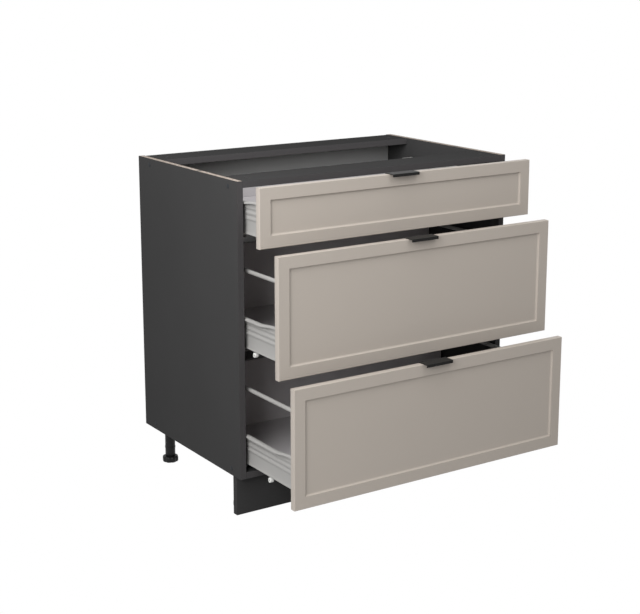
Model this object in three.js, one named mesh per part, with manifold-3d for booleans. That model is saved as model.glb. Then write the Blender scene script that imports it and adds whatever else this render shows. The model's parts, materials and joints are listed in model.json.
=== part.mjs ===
// Kitchen base cabinet with three drawers, standing on four adjustable legs behind a plinth board.
// Millimetres, +Z up. The fronts face -Y and the width runs along X.
// The origin is on the floor, under the middle of the whole cabinet with its drawers as they stand open.
import * as THREE from "three";
import { mergeVertices } from "three/addons/utils/BufferGeometryUtils.js";
import Module from "manifold-3d";

const wasm = await Module();
wasm.setup();

// ---------------------------------------------------------------- driving dimensions

// Carcass
const cabinetWidth = 800;
const carcassHeight = 720;
const carcassDepth = 500;
const floorClearance = 100; // from the floor to the underside of the carcass
const board = 16; // chipboard thickness
const backThickness = 3;
const grooveDepth = 8; // of the groove that holds the back
const backInset = 7.5; // from the rear edges of the sides to the back
const traverseDepth = 90; // of each top rail, front to rear
const seam = 0.3; // left between boards and fittings that meet

// Cam connectors of the top rails
const camRadius = 7.5;
const camPocketDepth = 12.5;
const camFromEnd = 34;
const camFromFrontEdge = 41.5;

// Hole for a worktop's locating dowel in the top edge of each side
const dowelRadius = 4;
const dowelDepth = 13;
const dowelFromFront = 192;

// Plinth
const plinthRecess = 26; // from the carcass front edge to the plinth's face
const plinthEndInset = 4;
const plinthFloorGap = 1;
const plinthTopGap = 3;

// Legs
const legFromSide = 46; // leg axis to the outer face of the side
const legFromBack = 48;
const legBehindPlinth = 3; // from the plinth to the front legs' flanges
const legStemRadius = 13.2;
const legStemWall = 2.6;
const legFlangeRadius = 30;
const legFlangeThickness = 5;
const footRadius = 21;
const footHeight = 15;
const footScallops = 8;
const footScallopDepth = 1.6;
const footScallopRadius = 5;
const footScrewRadius = 9;
const footScrewLength = 60;

// Fronts
const frontThickness = 16;
const frontGap = 3; // between two fronts
const frontSideGap = 2; // from a front's end to the outer face of the side
const frontEdgeGap = 2; // above the top front and under the bottom one
const topFrontHeight = 140;
const frameBand = 29; // flat frame round the sunk field
const frameBevel = 5; // width of the sloped step inside the frame
const fieldDepth = 4.5; // how far the field is sunk
const frontArris = 0.8; // softened front edges
const closedGap = 2.5; // from the carcass to the back of a closed front

// Edge pulls
const pullLength = 80;
const pullThickness = 1.5;
const pullReach = 13.6; // in front of the front's face
const pullLip = 7;
const pullFlange = 24; // screwed to the back of the front
const pullCornerRadius = 4;

// Steel drawer sides
const lengthStep = 50; // sides come in lengths of so many millimetres
const rearClearance = 10; // at least, from a side's rear end to the back
const runnerGap = 12; // between the cabinet side and a drawer's steel side
const sheet = 1.2; // steel thickness
const sideHeight = 76;
const sideFlange = 25; // bottom flange under the drawer bottom
const shallowSideLift = 17; // underside of the top drawer's sides above its front's bottom edge
const bottomFlare = 2;
const bottomFlareHeight = 6.5;
const beadDepth = 2;
const beadHeight = 13;
const beadSteps = 4;
const upperBeadBelowTop = 18.5; // from the side's top to the middles of the beads
const lowerBeadBelowTop = 33;
const rimClearance = 2; // from the hooked rim's lip to the cabinet side
const rimDrop = 13; // its turned-down lip
const rimRound = 2;
const rimRise = 6; // how far the rim climbs towards the front
const rimFrontReach = 6;
const rimFrontDrop = 6;
const rimBlendStart = 45; // the climb, measured from the front end of the side
const rimBlendEnd = 110;
const rimBlendSteps = 5;
const tabBelowTop = 14; // tab that holds the front
const tabWidth = 18;
const rearTabWidth = 27; // tab behind the back board, as tall as the side

// Rollers
const rollerRadius = 6; // of those on the drawer
const rollerWidth = 9;
const rollerTopGap = 2.2; // from a roller's top to the underside of the steel side
const guideRollerFromFace = 148; // behind the front's face
const rearRollerFromEnd = 15;
const bearingRadius = 7; // of those on the cabinet's runners
const bearingWidth = 9;
const rollerBore = 2.1;
const rollerPin = 2;
const rollerChamfer = 0.8;
const pinStub = 0.7; // pin end beyond its roller
const laneGap = 1; // between neighbouring moving parts
const bracketMargin = 1.5; // of a bracket plate round its pin

// Runners on the cabinet sides
const runnerSetback = 37; // runner's front end behind the carcass front edge
const runnerTrim = 10; // shorter than the drawer's side
const runnerWeb = 26; // height of the web above the underside of the steel side
const runnerSheet = 1.2;
const runnerPlay = 0.4; // round the rollers that run in the channel
const runnerCorner = 8;
const bearingSetback = 15; // carrying roller behind the runner's front end
const shelfLength = 34; // widened front end that holds the carrying roller
const catchLength = 30; // top flange left out over the front end
const slotLength = 12;
const slotWidth = 5;
const slotDrop = 10; // below the web's top edge
const slotPlaces = [0.1, 0.42, 0.76, 0.93]; // along the runner

// Boards of the drawers
const lowBackBelowTop = 2; // the top drawer's back, below its sides' top edge
const fullBackHeight = 188.5; // the tall backs, where the front is high enough
const backClearance = 20; // at least, from a tall back's top to the front's top edge

// Gallery rails
const railRadius = 5;
const railBelowBack = 4.5; // axis below the top edge of the tall back
const railFromSide = 20; // axis to the inner face of the cabinet side
const railSocketRadius = 8;
const railSocketLength = 9;

// How far each drawer stands open
const topOpening = 77.8;
const middleOpening = 155.2;
const bottomOpening = 218.7;

// ---------------------------------------------------------------- sizes that follow from them

const halfWidth = cabinetWidth / 2;
const innerHalf = halfWidth - board;
const carcassTop = floorClearance + carcassHeight;
const backFace = carcassDepth - backInset - backThickness; // front face of the back
const deepFrontHeight = (carcassHeight - 2 * frontEdgeGap - 2 * frontGap - topFrontHeight) / 2;
const frontHalf = halfWidth - frontSideGap;
const frontFace = closedGap + frontThickness; // a closed front's face, ahead of the carcass
const sideWall = innerHalf - runnerGap; // outer face of a steel side
const drawerHalf = sideWall - sheet - seam; // half the width between the steel sides
const frontReach = bottomOpening + frontFace + pullReach;
const legFromFront = plinthRecess + board + legBehindPlinth + legFlangeRadius;

// Steel sides, from their outer face and their underside
const rimReach = runnerGap - rimClearance; // how far the hooked rim overhangs outwards
const upperBead = sideHeight - upperBeadBelowTop;
const lowerBead = sideHeight - lowerBeadBelowTop;
const tabHeight = sideHeight - tabBelowTop;
const lowBackHeight = sideHeight - lowBackBelowTop;
const rollerDrop = rollerRadius + rollerTopGap; // axis below the underside

// Heights of the runner's channel, from the underside of the steel side
const channelFloor = -rollerDrop - rollerRadius - runnerPlay;
const channelRoof = -rollerDrop + rollerRadius + runnerPlay;
const runnerUnderside = channelFloor - runnerSheet;
const bearingAxis = -bearingRadius - seam;

// Lanes of the left-hand rollers, from the cabinet side inwards
const rollerLane = -sideWall - bottomFlare;
const channelEdge = rollerLane + rollerWidth + laneGap;
const bracketAt = channelEdge + laneGap;
const bearingLane = bracketAt + sheet + 2 * laneGap;
const earAt = bearingLane + bearingWidth + laneGap / 2;

// The bottom drawer's runners stand just above the bottom panel
const deepSideLift = board + seam - runnerUnderside - frontEdgeGap;
const sideLength = Math.floor((backFace - rearClearance) / lengthStep) * lengthStep;
const runnerLength = sideLength - runnerTrim;
const tallBackHeight = Math.min(fullBackHeight, deepFrontHeight - deepSideLift - backClearance);
const railHeight = tallBackHeight - railBelowBack;

// ---------------------------------------------------------------- finishes

const finish = (color, roughness, metalness = 0) =>
  new THREE.MeshStandardMaterial({ color, roughness, metalness });
const graphite = finish(0x434343, 0.6);
const hardboard = finish(0x5a5a5a, 0.7);
const cashmere = finish(0xb7aea5, 0.5);
const blackMetal = finish(0x1c1c1c, 0.45, 0.6);
const blackPlastic = finish(0x1a1a1a, 0.5);
const paintedSteel = finish(0xb6b6b4, 0.4, 0.3);
const zincSteel = finish(0x9a9c9e, 0.35, 0.8);
const greyBoard = finish(0xa9a5ac, 0.6);
const whiteNylon = finish(0xe6e6e4, 0.4);

// ---------------------------------------------------------------- shape tools

// A closed geometry as a solid for joining and cutting, its empty triangles left out.
function solid(geometry) {
  const bare = geometry.clone();
  bare.deleteAttribute("normal");
  bare.deleteAttribute("uv");
  const merged = mergeVertices(bare, 1e-4);
  const corners = merged.index.array;
  const triangles = [];
  for (let i = 0; i < corners.length; i += 3) {
    const [a, b, c] = corners.slice(i, i + 3);
    if (a !== b && b !== c && c !== a) triangles.push(a, b, c);
  }
  return new wasm.Manifold(
    new wasm.Mesh({
      numProp: 3,
      vertProperties: merged.attributes.position.array,
      triVerts: new Uint32Array(triangles),
    }),
  );
}

function geometryOf(made) {
  const mesh = made.getMesh();
  const geometry = new THREE.BufferGeometry();
  geometry.setAttribute("position", new THREE.BufferAttribute(mesh.vertProperties, 3));
  geometry.setIndex(new THREE.BufferAttribute(mesh.triVerts, 1));
  return geometry;
}

function join(...geometries) {
  return geometryOf(geometries.map(solid).reduce((whole, part) => whole.add(part)));
}

function cut(geometry, ...cutters) {
  return geometryOf(cutters.map(solid).reduce((whole, part) => whole.subtract(part), solid(geometry)));
}

// A box from its lowest to its highest corner.
function block([x0, y0, z0], [x1, y1, z1]) {
  return new THREE.BoxGeometry(x1 - x0, y1 - y0, z1 - z0).translate(
    (x0 + x1) / 2,
    (y0 + y1) / 2,
    (z0 + z1) / 2,
  );
}

// An outline of points extruded along one axis: [x, z] along Y, [y, z] along X and [x, y] along Z.
function prism(outline, axis, from, to, holes = []) {
  const shape = new THREE.Shape(outline.map(([a, b]) => new THREE.Vector2(a, b)));
  shape.holes = holes;
  const geometry = new THREE.ExtrudeGeometry(shape, {
    depth: to - from,
    bevelEnabled: false,
    curveSegments: 3,
  });
  if (axis === "Y") geometry.rotateX(Math.PI / 2).translate(0, to, 0);
  if (axis === "X") geometry.rotateX(Math.PI / 2).rotateZ(Math.PI / 2).translate(from, 0, 0);
  if (axis === "Z") geometry.translate(0, 0, from);
  return geometry;
}

// A profile of [radius, height] points turned about Z.
function turned(profile, segments) {
  const points = profile.map(([radius, height]) => new THREE.Vector2(radius, height));
  return new THREE.LatheGeometry(points, segments).rotateX(Math.PI / 2);
}

// The outline of a strip of sheet metal that follows a line of points at its middle.
function strip(line, thickness) {
  const points = line.map(([a, b]) => new THREE.Vector2(a, b));
  const normals = points.slice(1).map((end, i) => {
    const along = end.clone().sub(points[i]).normalize();
    return new THREE.Vector2(-along.y, along.x);
  });
  const offset = (i, side) => {
    const before = normals[Math.max(i - 1, 0)];
    const after = normals[Math.min(i, normals.length - 1)];
    const miter = before.clone().add(after).normalize();
    const reach = (side * thickness) / 2 / miter.dot(after);
    return [points[i].x + miter.x * reach, points[i].y + miter.y * reach];
  };
  const left = points.map((_, i) => offset(i, 1));
  const right = points.map((_, i) => offset(i, -1)).reverse();
  return [...left, ...right];
}

// A closed skin over rings of [x, y, z] points, from the rearmost ring to the foremost, with flat ends.
function skinned(rings) {
  const outline = rings[0].map(([x, , z]) => new THREE.Vector2(x, z));
  const clockwise = THREE.ShapeUtils.isClockWise(outline);
  const loops = clockwise ? rings.map((ring) => ring.toReversed()) : rings;
  const cap = THREE.ShapeUtils.triangulateShape(clockwise ? outline.toReversed() : outline, []);
  const count = outline.length;
  const last = (loops.length - 1) * count;
  const index = [];
  for (let start = 0; start < last; start += count)
    for (let i = 0; i < count; i++) {
      const a = start + i;
      const b = start + ((i + 1) % count);
      index.push(a, b, b + count, a, b + count, a + count);
    }
  for (const [a, b, c] of cap) {
    index.push(c, b, a);
    index.push(last + a, last + b, last + c);
  }
  const geometry = new THREE.BufferGeometry();
  geometry.setAttribute("position", new THREE.Float32BufferAttribute(loops.flat(2), 3));
  geometry.setIndex(index);
  return geometry;
}

// A straight slot's outline as a hole in a shape.
function slot(x, y, length, width) {
  const hole = new THREE.Path();
  hole.absarc(x + (length - width) / 2, y, width / 2, -Math.PI / 2, Math.PI / 2);
  hole.absarc(x - (length - width) / 2, y, width / 2, Math.PI / 2, (3 * Math.PI) / 2);
  hole.closePath();
  return hole;
}

function mesh(name, geometry, material) {
  const made = new THREE.Mesh(geometry, material);
  made.name = name;
  return made;
}

const sides = [
  ["left", 1],
  ["right", -1],
];

// ---------------------------------------------------------------- carcass

// The left side panel: its outline from above has the groove for the back, and its top edge a dowel hole.
function sidePanel() {
  const grooveFrom = backFace - seam;
  const grooveTo = backFace + backThickness + seam;
  const outline = [
    [-halfWidth, 0],
    [-innerHalf, 0],
    [-innerHalf, grooveFrom],
    [-innerHalf - grooveDepth, grooveFrom],
    [-innerHalf - grooveDepth, grooveTo],
    [-innerHalf, grooveTo],
    [-innerHalf, carcassDepth],
    [-halfWidth, carcassDepth],
  ];
  const panel = prism(outline, "Z", floorClearance, carcassTop);
  const dowelHole = turned(
    [
      [0, -dowelDepth],
      [dowelRadius, -dowelDepth],
      [dowelRadius, 1],
      [0, 1],
    ],
    16,
  ).translate(-halfWidth + board / 2, dowelFromFront, carcassTop);
  return cut(panel, dowelHole);
}

// A top rail with a pocket for the cam connector at each end.
function traverse(from) {
  const half = innerHalf - seam;
  const plank = block([-half, from, carcassTop - board], [half, from + traverseDepth, carcassTop]);
  const pockets = [-1, 1].map((end) =>
    turned(
      [
        [0, -camPocketDepth],
        [camRadius, -camPocketDepth],
        [camRadius, 1],
        [0, 1],
      ],
      16,
    ).translate(end * (innerHalf - camFromEnd), from + camFromFrontEdge, carcassTop),
  );
  return cut(plank, ...pockets);
}

function carcass() {
  const group = new THREE.Group();
  for (const [side, turn] of sides) {
    const panel = mesh(`side_panel_${side}`, sidePanel(), graphite);
    panel.scale.x = turn;
    group.add(panel);
  }
  const half = innerHalf - seam;
  const floorPanel = block([-half, 0, floorClearance], [half, backFace - seam, floorClearance + board]);
  const backHalf = innerHalf + grooveDepth - 1;
  const back = block(
    [-backHalf, backFace, floorClearance],
    [backHalf, backFace + backThickness, carcassTop],
  );
  const plinthHalf = halfWidth - plinthEndInset;
  const plinth = block(
    [-plinthHalf, plinthRecess, plinthFloorGap],
    [plinthHalf, plinthRecess + board, floorClearance - plinthTopGap],
  );
  group.add(
    mesh("bottom_panel", floorPanel, graphite),
    mesh("top_rail_front", traverse(0), graphite),
    mesh("top_rail_rear", traverse(backFace - seam - traverseDepth), graphite),
    mesh("back_panel", back, hardboard),
    mesh("plinth", plinth, graphite),
  );
  return group;
}

// ---------------------------------------------------------------- legs

// Flange under the bottom panel, cone and hollow stem, in one profile that closes on itself.
function legBody() {
  const top = floorClearance - seam;
  const bottom = footHeight + seam;
  const bore = legStemRadius - legStemWall;
  const under = top - legFlangeThickness;
  const profile = [
    [bore, bottom],
    [legStemRadius - 0.8, bottom],
    [legStemRadius, bottom + 1],
    [legStemRadius, under - 14],
    [legStemRadius + 4, under - 3],
    [legStemRadius + 9, under],
    [legFlangeRadius, under],
    [legFlangeRadius, top],
    [bore, top],
  ];
  return turned([...profile, profile[0]], 18);
}

// Foot disc with grip scallops, and the screw that runs up into the stem.
function legFoot() {
  const disc = turned(
    [
      [0, 0],
      [footRadius - 2.5, 0],
      [footRadius, 2.5],
      [footRadius, footHeight - 4],
      [footRadius - 4, footHeight],
      [0, footHeight],
    ],
    24,
  );
  const gripCentre = footRadius + footScallopRadius - footScallopDepth;
  const grips = Array.from({ length: footScallops }, (_, i) => {
    const angle = ((i + 0.5) / footScallops) * 2 * Math.PI;
    return new THREE.CylinderGeometry(footScallopRadius, footScallopRadius, footHeight + 2, 8)
      .rotateX(Math.PI / 2)
      .translate(gripCentre * Math.cos(angle), gripCentre * Math.sin(angle), footHeight / 2);
  });
  const screw = new THREE.CylinderGeometry(footScrewRadius, footScrewRadius, footScrewLength, 12)
    .rotateX(Math.PI / 2)
    .translate(0, 0, footHeight - 1 + footScrewLength / 2);
  return join(cut(disc, ...grips), screw);
}

function legs() {
  const group = new THREE.Group();
  const rows = [
    ["front", legFromFront],
    ["rear", carcassDepth - legFromBack],
  ];
  for (const [row, y] of rows)
    for (const [side, turn] of sides) {
      const body = mesh(`leg_${row}_${side}`, legBody(), blackPlastic);
      const foot = mesh(`foot_${row}_${side}`, legFoot(), blackPlastic);
      for (const piece of [body, foot]) {
        piece.position.set(-turn * (halfWidth - legFromSide), y, 0);
        group.add(piece);
      }
    }
  return group;
}

// ---------------------------------------------------------------- rollers

// A nylon roller with its bore, turned about X, from the plane x = 0 inwards.
function roller(radius, width) {
  const edge = radius - rollerChamfer;
  const profile = [
    [rollerBore, 0],
    [edge, 0],
    [radius, rollerChamfer],
    [radius, width - rollerChamfer],
    [edge, width],
    [rollerBore, width],
  ];
  return turned([...profile, profile[0]], 12).rotateY(Math.PI / 2);
}

function pin(from, to) {
  return new THREE.CylinderGeometry(rollerPin, rollerPin, to - from, 10)
    .rotateZ(Math.PI / 2)
    .translate((from + to) / 2, 0, 0);
}

// ---------------------------------------------------------------- steel drawer sides

// Section of the left steel side: x from the wall's outer face, positive into the drawer.
function sideSection(rise, reach, drop) {
  const wall = sheet / 2;
  const bead = (middle) =>
    Array.from({ length: beadSteps + 1 }, (_, i) => [
      wall - beadDepth * Math.sin((Math.PI * i) / beadSteps),
      middle + beadHeight * (i / beadSteps - 0.5),
    ]);
  const top = sideHeight + rise - wall;
  const lip = wall - reach;
  const line = [
    [sideFlange, wall],
    [wall - bottomFlare, wall],
    [wall, bottomFlareHeight],
    ...bead(lowerBead),
    ...bead(upperBead),
    [wall, top - rimRound],
    [wall - rimRound / 2, top - rimRound / 4],
    [wall - rimRound, top],
    [lip + rimRound, top],
    [lip + rimRound / 4, top - rimRound / 4],
    [lip, top - rimRound],
    [lip, top + wall - drop],
  ];
  return strip(line, sheet);
}

// The rolled left side from its front end backwards: its rim climbs towards the front, tabs stand
// behind the front and behind the back board, and brackets under the flange carry the roller pins.
function steelSide(rollerPlaces) {
  const climb = Array.from(
    { length: rimBlendSteps + 1 },
    (_, i) => rimBlendEnd + ((rimBlendStart - rimBlendEnd) * i) / rimBlendSteps,
  );
  const rings = [sideLength, ...climb, 0].map((y) => {
    const back = THREE.MathUtils.smoothstep(y, rimBlendStart, rimBlendEnd);
    const section = sideSection(
      THREE.MathUtils.lerp(rimRise, 0, back),
      THREE.MathUtils.lerp(rimFrontReach, rimReach, back),
      THREE.MathUtils.lerp(rimFrontDrop, rimDrop, back),
    );
    return section.map(([x, z]) => [x - sideWall, y, z]);
  });
  const half = sheet / 2;
  const tab = (y, width, height) =>
    block([half - sideWall, y, half], [half - sideWall + width, y + sheet, height]);
  const tabs = [tab(0, tabWidth, tabHeight), tab(sideLength - sheet, rearTabWidth, sideHeight - half)];
  const plate = rollerPin + bracketMargin;
  const brackets = rollerPlaces.flatMap((y) => [
    block([bracketAt, y - plate, -rollerDrop - plate], [bracketAt + sheet, y + plate, half]),
    pin(rollerLane - pinStub, bracketAt + half).translate(0, y, -rollerDrop),
  ]);
  return join(skinned(rings), ...tabs, ...brackets);
}

// ---------------------------------------------------------------- cabinet runners

// The left runner from its front end backwards, z from the underside of the steel side: a web on the
// cabinet side, a channel for the drawer's rollers, and a shelf in front with the carrying roller's pin.
function runner() {
  const web = -innerHalf + seam;
  const plate = prism(
    [
      [0, runnerUnderside],
      [runnerLength, runnerUnderside],
      [runnerLength, runnerWeb],
      [runnerCorner, runnerWeb],
      [0, runnerWeb - runnerCorner],
    ],
    "X",
    web,
    web + runnerSheet,
    slotPlaces.map((place) => slot(place * runnerLength, runnerWeb - slotDrop, slotLength, slotWidth)),
  );
  const floor = block([web, 0, runnerUnderside], [channelEdge, runnerLength, channelFloor]);
  const roof = block(
    [web, catchLength, channelRoof],
    [channelEdge, runnerLength, channelRoof + runnerSheet],
  );
  const rearStop = block(
    [web, runnerLength - runnerSheet, runnerUnderside],
    [channelEdge, runnerLength, channelRoof + runnerSheet],
  );
  const shelf = block([web, 0, runnerUnderside], [earAt + runnerSheet, shelfLength, channelFloor]);
  const earHalf = rollerPin + 2 * bracketMargin;
  const ear = block(
    [earAt, bearingSetback - earHalf, runnerUnderside],
    [earAt + runnerSheet, bearingSetback + earHalf, bearingAxis + rollerPin + bracketMargin],
  );
  const bearingPin = pin(bearingLane - pinStub, earAt + runnerSheet / 2);
  bearingPin.translate(0, bearingSetback, bearingAxis);
  return join(plate, floor, roof, rearStop, shelf, ear, bearingPin);
}

function runners(level, sideUnderside) {
  const group = new THREE.Group();
  group.position.set(0, runnerSetback, sideUnderside);
  for (const [side, turn] of sides) {
    const track = mesh(`runner_${level}_${side}`, runner(), zincSteel);
    const wheel = roller(bearingRadius, bearingWidth);
    wheel.translate(bearingLane, bearingSetback, bearingAxis);
    const bearing = mesh(`runner_roller_${level}_${side}`, wheel, whiteNylon);
    for (const piece of [track, bearing]) {
      piece.scale.x = turn;
      group.add(piece);
    }
  }
  return group;
}

// ---------------------------------------------------------------- fronts and pulls

// A milled front: rectangular rings from its back face round to the sunk field.
function framedFront(height) {
  const ring = (inset, y) => [
    [-frontHalf + inset, y, inset],
    [frontHalf - inset, y, inset],
    [frontHalf - inset, y, height - inset],
    [-frontHalf + inset, y, height - inset],
  ];
  const face = -frontFace;
  return skinned([
    ring(0, face + frontThickness),
    ring(0, face + frontArris),
    ring(frontArris, face),
    ring(frameBand, face),
    ring(frameBand + frameBevel, face + fieldDepth),
  ]);
}

// An edge pull: flange behind the front, plate over its top edge and a lip in front of it.
function edgePull(height) {
  const middle = pullThickness / 2;
  const line = [
    [-closedGap + middle + seam, height - pullFlange],
    [-closedGap + middle + seam, height + middle + seam],
    [-frontFace - pullReach + middle, height + middle + seam],
    [-frontFace - pullReach + middle, height + pullThickness + seam - pullLip],
  ];
  const bar = prism(strip(line, pullThickness), "X", -pullLength / 2, pullLength / 2);
  const nose = pullCornerRadius;
  const corners = [-1, 1].map((end) => {
    const x = (end * pullLength) / 2;
    const y = -frontFace - pullReach;
    const outside = new THREE.Shape();
    outside.moveTo(x + end, y - 1);
    outside.lineTo(x - end * nose, y - 1);
    outside.lineTo(x - end * nose, y);
    outside.quadraticCurveTo(x, y, x, y + nose);
    outside.lineTo(x + end, y + nose);
    outside.closePath();
    return new THREE.ExtrudeGeometry(outside, {
      depth: pullLip + 4,
      bevelEnabled: false,
      curveSegments: 4,
    }).translate(0, 0, height - pullLip);
  });
  return cut(bar, ...corners);
}

// ---------------------------------------------------------------- drawers

// A round rail between the front and the back board, with a socket at each end.
function galleryRail(length) {
  const profile = [
    [0, 0],
    [railSocketRadius, 0],
    [railSocketRadius - 1, railSocketLength],
    [railRadius, railSocketLength + 1],
    [railRadius, length - railSocketLength - 1],
    [railSocketRadius - 1, length - railSocketLength],
    [railSocketRadius, length],
    [0, length],
  ];
  return turned(profile, 12).rotateX(-Math.PI / 2);
}

// The bottom board from above, with notches for the tabs behind the front.
function drawerBottom() {
  const start = seam;
  const end = sideLength - sheet - seam;
  const notch = sheet + 2 * seam;
  const inner = drawerHalf - tabWidth - seam;
  const outline = [
    [-inner, start],
    [inner, start],
    [inner, notch],
    [drawerHalf, notch],
    [drawerHalf, end],
    [-drawerHalf, end],
    [-drawerHalf, notch],
    [-inner, notch],
  ];
  const underside = sheet + seam;
  return prism(outline, "Z", underside, underside + board);
}

// One drawer. Its group's Y is 0 at the carcass front edge when the drawer is shut, and Z is 0 at the
// front's bottom edge. The steel sides start behind the front.
function drawer(level, { frontHeight, sideLift, backHeight, deep, opening, bottomEdge }) {
  const group = new THREE.Group();
  group.position.set(0, -opening, bottomEdge);
  group.add(
    mesh(`drawer_front_${level}`, framedFront(frontHeight), cashmere),
    mesh(`handle_${level}`, edgePull(frontHeight), blackMetal),
  );

  const box = new THREE.Group();
  box.position.set(0, seam - closedGap, sideLift);
  group.add(box);
  const backEnd = sideLength - sheet - seam;
  const back = block(
    [-drawerHalf, backEnd - board, sheet + board + 2 * seam],
    [drawerHalf, backEnd, backHeight],
  );
  box.add(
    mesh(`drawer_bottom_${level}`, drawerBottom(), greyBoard),
    mesh(`drawer_back_${level}`, back, greyBoard),
  );

  const rollerPlaces = { rear: sideLength - rearRollerFromEnd };
  if (deep) rollerPlaces.guide = guideRollerFromFace - frontThickness - seam;
  for (const [side, turn] of sides) {
    const wall = steelSide(Object.values(rollerPlaces));
    const pieces = [mesh(`drawer_side_${level}_${side}`, wall, paintedSteel)];
    for (const [place, y] of Object.entries(rollerPlaces)) {
      const wheel = roller(rollerRadius, rollerWidth).translate(rollerLane, y, -rollerDrop);
      pieces.push(mesh(`${place}_roller_${level}_${side}`, wheel, whiteNylon));
    }
    if (deep) {
      const rail = galleryRail(backEnd - board - 2 * seam);
      rail.translate(-innerHalf + railFromSide, seam, railHeight);
      pieces.push(mesh(`gallery_rail_${level}_${side}`, rail, paintedSteel));
    }
    for (const piece of pieces) {
      piece.scale.x = turn;
      box.add(piece);
    }
  }
  return group;
}

// ---------------------------------------------------------------- the whole cabinet

const deepDrawer = {
  frontHeight: deepFrontHeight,
  sideLift: deepSideLift,
  backHeight: tallBackHeight,
  deep: true,
};
const bottomEdge = floorClearance + frontEdgeGap;
const middleEdge = bottomEdge + deepFrontHeight + frontGap;
const drawers = {
  top: {
    frontHeight: topFrontHeight,
    sideLift: shallowSideLift,
    backHeight: lowBackHeight,
    deep: false,
    opening: topOpening,
    bottomEdge: middleEdge + deepFrontHeight + frontGap,
  },
  middle: { ...deepDrawer, opening: middleOpening, bottomEdge: middleEdge },
  bottom: { ...deepDrawer, opening: bottomOpening, bottomEdge },
};

const cabinet = new THREE.Group();
cabinet.add(carcass(), legs());
for (const [level, sizes] of Object.entries(drawers))
  cabinet.add(runners(level, sizes.bottomEdge + sizes.sideLift), drawer(level, sizes));

// The origin lies under the middle of the whole, between the foremost pull and the rear edges.
cabinet.position.y = (frontReach - carcassDepth) / 2;

const root = new THREE.Group();
root.add(cabinet);
export default root;
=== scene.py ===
import json
import math
from functools import partial

import bmesh
import bpy
from mathutils import Matrix, Vector
from mathutils.geometry import tessellate_polygon


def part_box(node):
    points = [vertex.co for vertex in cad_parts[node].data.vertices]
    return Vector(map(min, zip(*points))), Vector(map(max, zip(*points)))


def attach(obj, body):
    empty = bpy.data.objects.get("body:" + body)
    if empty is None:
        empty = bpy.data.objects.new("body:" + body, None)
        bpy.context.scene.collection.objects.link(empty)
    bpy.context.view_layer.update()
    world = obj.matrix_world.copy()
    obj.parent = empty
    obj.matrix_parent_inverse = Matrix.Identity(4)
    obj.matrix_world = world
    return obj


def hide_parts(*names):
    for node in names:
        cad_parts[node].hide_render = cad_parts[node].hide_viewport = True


print("loading the cabinet")
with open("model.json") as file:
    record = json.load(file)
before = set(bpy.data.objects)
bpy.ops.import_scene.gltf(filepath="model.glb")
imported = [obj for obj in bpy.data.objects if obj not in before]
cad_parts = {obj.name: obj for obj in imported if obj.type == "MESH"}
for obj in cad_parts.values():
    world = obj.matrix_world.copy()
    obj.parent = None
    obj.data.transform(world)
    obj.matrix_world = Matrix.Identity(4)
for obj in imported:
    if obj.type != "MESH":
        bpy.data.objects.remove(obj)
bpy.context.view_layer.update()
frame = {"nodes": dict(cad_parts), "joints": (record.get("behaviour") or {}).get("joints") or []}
nodes = frame["nodes"]
scene = bpy.context.scene
mm = 0.001
weldDistance = 1e-6  # points closer than this are one
tiny = 1e-7  # places that differ by less are the same
sharpAngle = 34  # degrees; an edge that turns by more stays sharp
curvedSharpAngle = 40  # the same, on pieces with coarser curves

levels = ("top", "middle", "bottom")
deepLevels = ("middle", "bottom")  # the drawers with gallery rails
hands = dict(left=1, right=-1)  # 1 where the inside lies towards +X

# planes of the carcass that finishes and fittings are set out from
sideLow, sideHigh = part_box("side_panel_left")
carcassFront = sideLow.y
carcassRear = sideHigh.y
carcassTop = sideHigh.z
carcassFloor = sideLow.z
sideOutside = -sideLow.x
sideInside = -sideHigh.x


def addObject(name, mesh):
    piece = bpy.data.objects.new(name, mesh)
    scene.collection.objects.link(piece)
    return piece


def meshFrom(name, points, faces, smooth=True, sharpFrom=sharpAngle):
    mesh = bpy.data.meshes.new(name)
    mesh.from_pydata([tuple(point) for point in points], [], faces)
    shape = bmesh.new()
    shape.from_mesh(mesh)
    bmesh.ops.remove_doubles(shape, verts=shape.verts, dist=weldDistance)
    bmesh.ops.recalc_face_normals(shape, faces=shape.faces)
    shape.to_mesh(mesh)
    shape.free()
    shadeMesh(mesh, smooth, sharpFrom)
    return mesh


def shadeMesh(mesh, smooth, sharpFrom):
    mesh.polygons.foreach_set("use_smooth", [smooth] * len(mesh.polygons))
    if smooth:
        mesh.set_sharp_from_angle(angle=math.radians(sharpFrom))
    mesh.update()


# points and faces of a profile of (radius, height) points turned about Z, numbered from start
def turnedRings(profile, segments, start=0, closed=False):
    count = len(profile)
    points, faces = [], []
    for step in range(segments):
        angle = 2 * math.pi * step / segments
        points += [(r * math.cos(angle), r * math.sin(angle), h) for r, h in profile]
        here = start + step * count
        ahead = start + (step + 1) % segments * count
        for i in range(count if closed else count - 1):
            j = (i + 1) % count
            faces.append((here + i, ahead + i, ahead + j, here + j))
    return points, faces


# the profile starts and ends on the axis or closes on itself
def turnedMesh(name, profile, segments, closed=False, sharpFrom=sharpAngle):
    points, faces = turnedRings(profile, segments, 0, closed)
    return meshFrom(name, points, faces, sharpFrom=sharpFrom)


# an outline of (a, b) points pushed along Z from low to high
def slabMesh(name, outline, low, high):
    count = len(outline)
    points = [(a, b, low) for a, b in outline] + [(a, b, high) for a, b in outline]
    faces = [tuple(range(count)), tuple(range(2 * count - 1, count - 1, -1))]
    faces += [(i, (i + 1) % count, (i + 1) % count + count, i + count) for i in range(count)]
    return meshFrom(name, points, faces)


def joined(name, meshes):
    shape = bmesh.new()
    for mesh in meshes:
        shape.from_mesh(mesh)
    whole = bpy.data.meshes.new(name)
    shape.to_mesh(whole)
    shape.free()
    return whole


def moved(mesh, matrix):
    mesh.transform(matrix)
    if matrix.determinant() < 0:
        mesh.flip_normals()
    return mesh


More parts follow.
